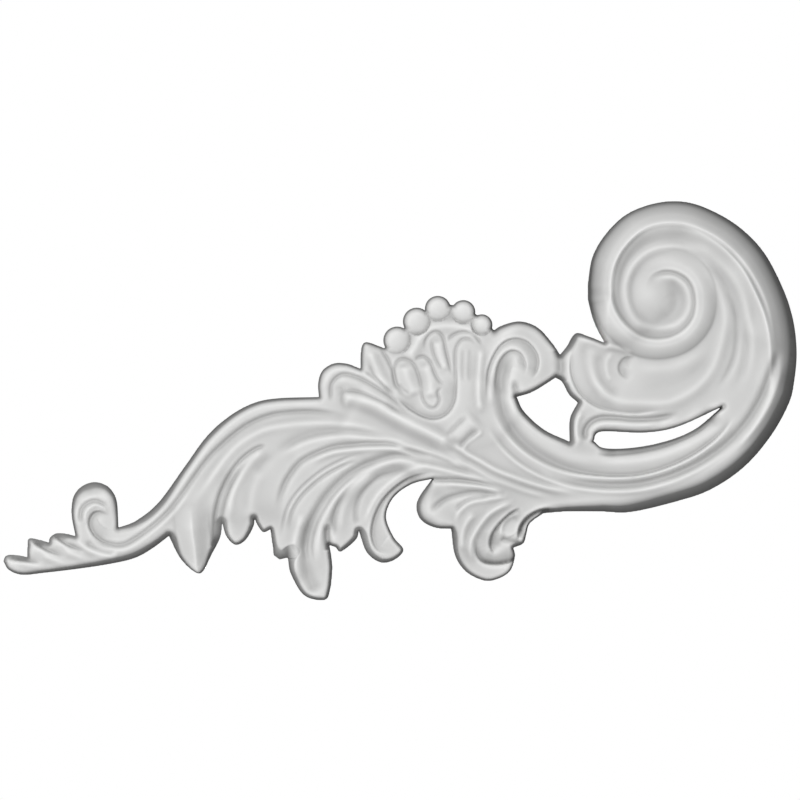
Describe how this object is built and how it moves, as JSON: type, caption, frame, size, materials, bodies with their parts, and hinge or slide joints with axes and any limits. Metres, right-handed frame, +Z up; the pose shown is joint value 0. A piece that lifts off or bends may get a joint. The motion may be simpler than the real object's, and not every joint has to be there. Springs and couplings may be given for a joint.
{
  "type": "scroll onlay applique",
  "caption": "Cast acanthus scroll onlay with a shell, beads and a large volute, fixed flat to a panel, door or chimneypiece.",
  "frame": {"origin": "on the flat back face, in the middle of the onlay's length and height", "axes": "+X along the length towards the large volute, +Z up, +Y out of the back into the surface it is fixed to; the carving faces -Y"},
  "size_m": [0.3573, 0.0217, 0.1796],
  "materials": {
    "white_primer": "high-density polyurethane foam with a smooth white factory primer, satin matte"
  },
  "bodies": {
    "root": {"scroll_onlay": "white_primer"}
  },
  "joints": []
}
